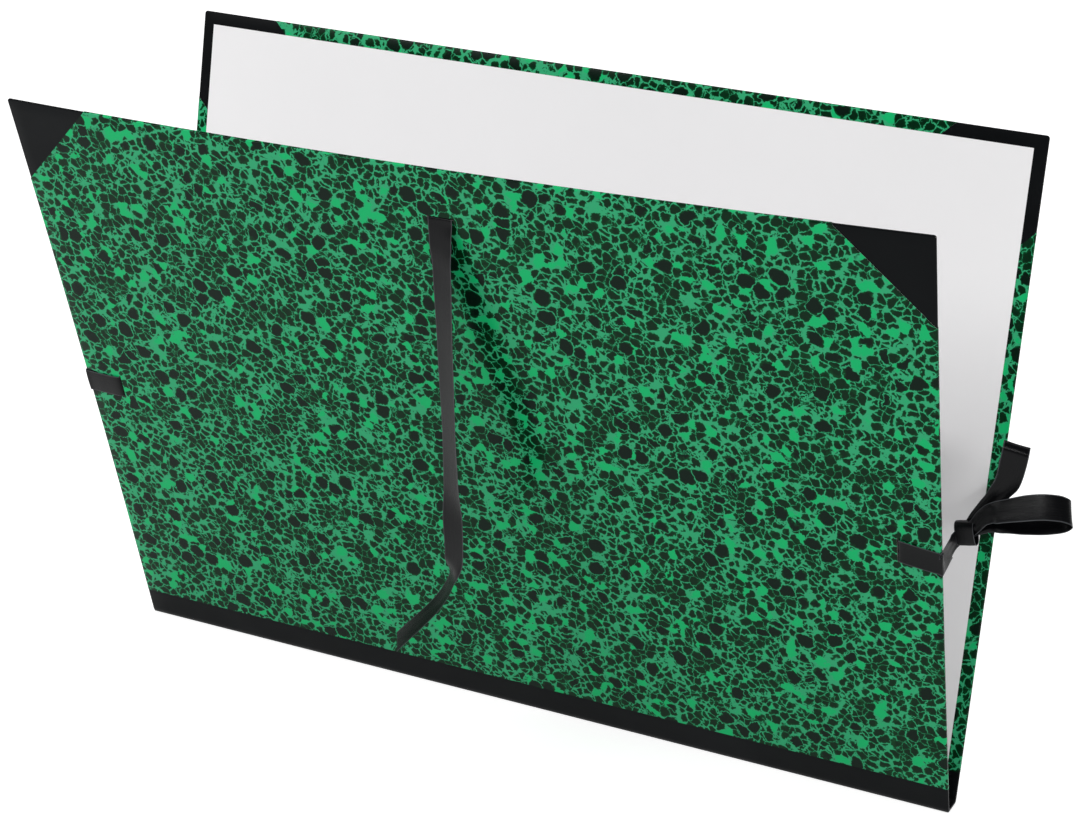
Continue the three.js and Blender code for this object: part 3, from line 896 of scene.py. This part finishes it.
def make_back_right_ribbon(looks):
    """Round the back cover's right edge, across to the knot and up into the standing loop."""
    stations, across = round_side_edge(COVERS["back"], 1)
    upright = (-0.9, -0.29, 0.27)
    slanted = (-0.7, -0.2, 0.7)
    stations += [
        (in_bow(0, 40, -6), across, RIBBON_WIDTH),
        (in_bow(1, 0, -4), (0, 0.1, 1), 17),
        (in_bow(4, -24, 2), (-0.1, 0.1, 1), 13),
        (in_bow(7, -33, 6), (-0.2, 0.1, 1), GATHERED_WIDTH),
        (in_bow(11.2, -37, 11.7), slanted, GATHERED_WIDTH),
        (in_bow(16.7, -37, 21.9), slanted, GATHERED_WIDTH + 1),
        (in_bow(24.4, -37, 33), slanted, 12),
        (in_bow(31.4, -36, 43), slanted, 15.5),
        (in_bow(35.6, -35, 50.3), upright, 18),
        (in_bow(38.2, -34, 64), upright, RIBBON_WIDTH),
        (in_bow(39.4, -33, 74), upright, RIBBON_WIDTH),
        (in_bow(38.8, -29, 77.5), upright, RIBBON_WIDTH),
        (in_bow(36.9, -24, 73), upright, RIBBON_WIDTH),
        (in_bow(34.9, -24, 59), upright, RIBBON_WIDTH),
        (in_bow(32.2, -27, 46), upright, 17),
        (in_bow(25.6, -32, 33.7), slanted, 12),
        (in_bow(16, -35, 19), slanted, GATHERED_WIDTH),
    ]
    made = make_ribbon(
        "back_right_tie", stations, looks,
        node="back_right_ribbon", body=None,
    )
    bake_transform(made)


def make_knot(looks):
    """A little more than one turn of ribbon round the gathered middle of the bow."""
    steps = 32
    turns = 1.08
    half_depth, half_height = 4.6, 8.9
    width = 14
    middle = in_bow(10, -40, 7.8)
    along = Vector((0.98, 0, 0.2))
    upwards = Vector((-0.2, 0, 0.98))
    forwards = Vector((0, -1, 0))
    stations = []
    for n in range(steps + 1):
        angle = 2 * math.pi * n / steps * turns
        forth = math.copysign(abs(math.cos(angle)) ** 0.6, math.cos(angle)) * half_depth
        rise = math.copysign(abs(math.sin(angle)) ** 0.85, math.sin(angle)) * half_height
        out = forwards * forth + upwards * rise
        stations.append((middle + out * (1 - 0.02 * n / steps), along, width))
    make_ribbon(
        "bow_knot", stations, looks,
        node="front_right_ribbon", body="front_cover",
        folds=0.15,
    )


def dress_cad_nodes(looks):
    """Give every solid of the CAD model its look, for those that are shown."""
    for name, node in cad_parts.items():
        if name.endswith("ribbon"):
            look = looks["ribbon"]
        elif name.endswith("board"):
            look = looks["board"]
        else:
            look = looks["cloth"]
        node.data.materials.clear()
        node.data.materials.append(look)


# Room: a pale floor under a white surround, and soft studio lamps


FLOOR_HALF = 8
FLOOR_DEPTH = 0.0004
FLOOR_LIFT = 0.6
WORLD_LIGHT = 0.5
WORLD_SEEN = 1.0
WORLD_REFLECTED = 0.2
LAMPS_AIM = (0, 0, 0.25)


def make_floor():
    """A floor that looks brighter to the camera and in reflections than the light it gives."""
    data = bpy.data.meshes.new("floor")
    half = FLOOR_HALF
    corners = [(-half, -half, 0), (half, -half, 0), (half, half, 0), (-half, half, 0)]
    data.from_pydata(corners, [], [(0, 1, 2, 3)])
    floor = bpy.data.objects.new("floor", data)
    floor.location.z = -FLOOR_DEPTH
    bpy.context.scene.collection.objects.link(floor)
    material = bpy.data.materials.new("floor_white")
    material.use_nodes = True
    tree = material.node_tree
    shader = tree.nodes["Principled BSDF"]
    shader.inputs["Base Color"].default_value = (0.8, 0.8, 0.8, 1)
    shader.inputs["Roughness"].default_value = 1
    shader.inputs["Specular IOR Level"].default_value = 0
    shader.inputs["Emission Color"].default_value = (1, 1, 1, 1)
    path = tree.nodes.new("ShaderNodeLightPath")
    camera_ray = path.outputs["Is Camera Ray"]
    glossy_ray = path.outputs["Is Glossy Ray"]
    looked_at = add_math(tree, "MAXIMUM", camera_ray, glossy_ray)
    lift = add_math(tree, "MULTIPLY", looked_at, FLOOR_LIFT)
    feed_socket(tree, shader.inputs["Emission Strength"], lift)
    data.materials.append(material)


def make_world():
    """A white surround, with one strength as a light, one to the camera and one in reflections."""
    world = bpy.data.worlds.new("world")
    bpy.context.scene.world = world
    world.use_nodes = True
    tree = world.node_tree
    background = tree.nodes["Background"]
    background.inputs["Color"].default_value = (1, 1, 1, 1)
    path = tree.nodes.new("ShaderNodeLightPath")
    camera_ray = path.outputs["Is Camera Ray"]
    glossy_ray = path.outputs["Is Glossy Ray"]
    seen = add_math(tree, "MULTIPLY_ADD", camera_ray, WORLD_SEEN - WORLD_LIGHT, WORLD_LIGHT)
    strength = add_math(tree, "MULTIPLY_ADD", glossy_ray, WORLD_REFLECTED - WORLD_LIGHT, seen)
    feed_socket(tree, background.inputs["Strength"], strength)


def add_lamp(name, place, size, power):
    """A soft lamp that shines at the middle of the portfolio."""
    data = bpy.data.lights.new(name, "AREA")
    data.shape = "RECTANGLE"
    data.size, data.size_y = size
    data.energy = power
    lamp = bpy.data.objects.new(name, data)
    lamp.location = place
    direction = Vector(LAMPS_AIM) - Vector(place)
    lamp.rotation_euler = direction.to_track_quat("-Z", "Y").to_euler()
    bpy.context.scene.collection.objects.link(lamp)


# The whole scene, made in this order


make_camera()
looks = {
    "paper": marbled_paper(),
    "core": paper_core(),
    "cloth": black_cloth(),
    "lining": lining_paper(),
    "board": grey_board(),
    "ribbon": satin_ribbon(),
}
for cover_name in COVERS:
    make_cover_paper(cover_name, looks)
    make_lining(cover_name, looks)
    for side_name in ("left", "right"):
        make_cloth_corner(cover_name, side_name, looks)
make_spine_cloth(looks)
make_top_ribbon("front", looks, FRONT_HANG)
make_top_ribbon("back", looks, BACK_HANG)
make_front_left_ribbon(looks)
make_back_left_ribbon(looks)
make_front_right_ribbon(looks)
make_side_loop(looks)
make_back_right_ribbon(looks)
make_knot(looks)
make_hinge_strip(looks)
dress_cad_nodes(looks)
make_floor()
make_world()
add_lamp("key", (-1.8, -2.0, 2.2), (1.4, 1.4), 42)
add_lamp("fill", (2.1, -1.95, 1.5), (0.5, 0.5), 18)
add_lamp("top", (0.2, 0.9, 2.6), (2.2, 1.4), 20)

bpy.context.scene.view_settings.view_transform = "Standard"
